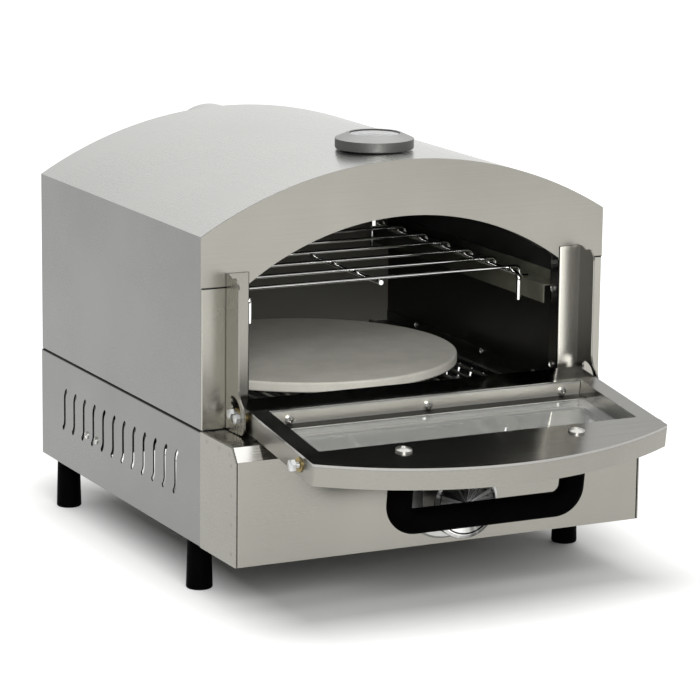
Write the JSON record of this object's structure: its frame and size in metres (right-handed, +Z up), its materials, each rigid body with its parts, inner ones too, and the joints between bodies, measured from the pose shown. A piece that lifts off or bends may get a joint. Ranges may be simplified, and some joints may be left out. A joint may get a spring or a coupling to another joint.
{
  "type": "countertop pizza oven",
  "caption": "Gas countertop pizza oven: arched steel hood, drop-down glazed door on slotted hinge ears, stone on a grate over the burner, sliding warming rack, knob and roof thermometer.",
  "frame": {"origin": "middle of the whole oven's footprint with its door down, at the level that the feet stand on", "axes": "+X to the oven's right as seen from the front, +Y from the front to the back, +Z up"},
  "size_m": [0.4056, 0.6442, 0.3921],
  "materials": {
    "steel": "brushed",
    "galvanised": "dull",
    "dark_enamel": "matt enamel",
    "screw": "bright",
    "chrome": "polished",
    "yellow_zinc": "passivated",
    "brass": "machined",
    "rubber": "moulded",
    "handle_black": "satin",
    "knob_black": "satin gloss",
    "glass": "clear",
    "lens": "clear",
    "gasket": "woven",
    "dial": "matt",
    "needle": "matt",
    "stone": "fired",
    "porcelain": "glazed",
    "grate": "satin enamel"
  },
  "bodies": {
    "oven": {"base_shell": "steel", "base_rear_panel": "steel", "control_panel": "steel", "control_side_left": "steel", "control_side_right": "steel", "heat_shield": "galvanised", "burner_tube": "galvanised", "burner_brackets": "galvanised", "venturi_tube": "galvanised", "igniter_electrode": "porcelain", "gas_valve": "brass", "gas_supply_pipe": "brass", "gas_inlet": "brass", "foot_front_left": "rubber", "foot_front_right": "rubber", "foot_back_left": "rubber", "foot_back_right": "rubber", "foot_bolts": "screw", "hearth_plate": "dark_enamel", "cavity_liner": "dark_enamel", "cavity_front_frame": "dark_enamel", "rack_ledge_left": "dark_enamel", "rack_ledge_right": "dark_enamel", "hood_shell": "steel", "front_fascia": "steel", "rear_panel": "steel", "flue_duct": "galvanised", "flue_cowl": "steel", "flue_screws": "screw", "hinge_bracket_left": "steel", "hinge_bracket_right": "steel", "cavity_screws": "screw", "side_screws": "screw", "knob_bezel": "chrome", "thermometer_case": "screw", "thermometer_bezel": "chrome", "thermometer_dial": "dial", "thermometer_lens": "lens", "thermometer_probe": "screw", "thermometer_nut": "screw"},
    "valve": {"valve_plug": "brass"},
    "knob": {"control_knob": "knob_black", "knob_face": "steel", "valve_stem": "screw"},
    "needle": {"thermometer_needle": "needle"},
    "door": {"door_outer_shell": "steel", "door_inner_panel": "steel", "door_glass": "glass", "glass_gasket": "gasket", "glass_retainer": "steel", "retainer_screws": "screw", "door_handle": "handle_black", "handle_screws": "screw", "pivot_bolts": "screw", "guide_bolts": "screw", "hinge_washers": "yellow_zinc", "catch_bolts": "screw"},
    "rack": {"warming_rack": "chrome"},
    "grate": {"stone_grate": "grate"},
    "stone": {"pizza_stone": "stone"}
  },
  "joints": [
    {"name": "door_swing", "type": "hinge", "parent": "oven", "child": "door", "pos_m": [0, -0.12886, 0.16749], "axis": [-1, 0, 0], "range_deg": [0, 98]},
    {"name": "rack_slide", "type": "slide", "parent": "oven", "child": "rack", "axis": [0, 1, 0], "range_m": [-0.3, 0]},
    {"name": "grate_lift", "type": "slide", "parent": "oven", "child": "grate", "axis": [0, 0, 1], "range_m": [0, 0.015]},
    {"name": "stone_lift", "type": "slide", "parent": "grate", "child": "stone", "axis": [0, 0, 1], "range_m": [0, 0.03]},
    {"name": "valve_turn", "type": "hinge", "parent": "oven", "child": "valve", "pos_m": [0, -0.18636, 0.0924], "axis": [0, -1, 0], "range_deg": [0, 225]},
    {"name": "knob_push", "type": "slide", "parent": "valve", "child": "knob", "axis": [0, 1, 0], "range_m": [0, 0.004], "stiffness_N_per_m": 500, "springref_m": -0.004},
    {"name": "needle_turn", "type": "hinge", "parent": "oven", "child": "needle", "pos_m": [0, -0.04486, 0.3834], "axis": [0, 0, -1], "range_deg": [0, 270]}
  ]
}
